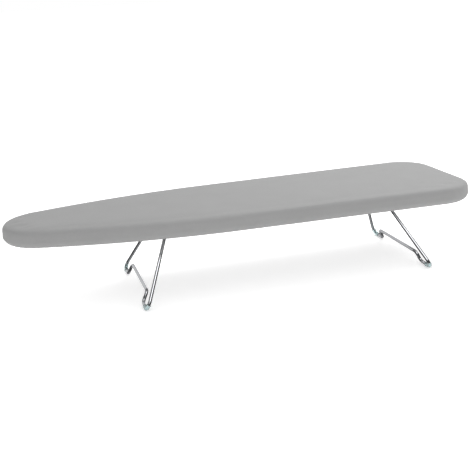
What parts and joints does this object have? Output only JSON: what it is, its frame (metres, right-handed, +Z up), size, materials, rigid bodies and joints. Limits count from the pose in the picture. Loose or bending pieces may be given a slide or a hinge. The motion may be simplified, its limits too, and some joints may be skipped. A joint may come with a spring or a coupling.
{
  "type": "tabletop ironing board",
  "caption": "Low padded board with a rounded nose and a fitted grey cover, on a steel rim, standing on folding bent-wire legs.",
  "frame": {"origin": "on the table, under the middle of the board's length and width", "axes": "+X along the board from the rounded nose to the square end, +Y across it, +Z up"},
  "size_m": [0.9499, 0.3, 0.17],
  "materials": {
    "cover_cloth": "satin",
    "foam": "matte",
    "felt": "matte",
    "hem_tape": "matte",
    "elastic": "matte",
    "frame_paint": "satin",
    "sheet_paint": "satin",
    "hinge_steel": "satin",
    "rivet_steel": "satin",
    "leg_chrome": "polished",
    "cap_vinyl": "satin",
    "clip_plastic": "matte"
  },
  "bodies": {
    "board": {"rim_frame": "frame_paint", "top_sheet": "sheet_paint", "felt_pad": "felt", "foam_pad": "foam", "cover": "cover_cloth", "hem_casing": "hem_tape", "hem_elastic": "elastic", "nose_hinge_brace": "frame_paint", "nose_clip_brace": "frame_paint", "nose_hinge_bridge": "hinge_steel", "nose_saddle_near": "hinge_steel", "nose_saddle_far": "hinge_steel", "nose_bridge_rivets": "rivet_steel", "nose_saddle_rivets": "rivet_steel", "nose_fold_clip": "clip_plastic", "nose_clip_rivets": "rivet_steel", "end_hinge_brace": "frame_paint", "end_clip_brace": "frame_paint", "end_hinge_bridge": "hinge_steel", "end_saddle_near": "hinge_steel", "end_saddle_far": "hinge_steel", "end_bridge_rivets": "rivet_steel", "end_saddle_rivets": "rivet_steel", "end_fold_clip": "clip_plastic", "end_clip_rivets": "rivet_steel"},
    "nose_leg": {"nose_leg_wire": "leg_chrome", "nose_foot_cap_near": "cap_vinyl", "nose_foot_cap_far": "cap_vinyl"},
    "end_leg": {"end_leg_wire": "leg_chrome", "end_foot_cap_near": "cap_vinyl", "end_foot_cap_far": "cap_vinyl"}
  },
  "joints": [
    {"name": "nose_leg_fold", "type": "hinge", "parent": "board", "child": "nose_leg", "pos_m": [-0.167, 0, 0.127], "axis": [0, -1, 0], "range_deg": [0, 116]},
    {"name": "end_leg_fold", "type": "hinge", "parent": "board", "child": "end_leg", "pos_m": [0.3065, 0, 0.127], "axis": [0, 1, 0], "range_deg": [0, 116]}
  ]
}
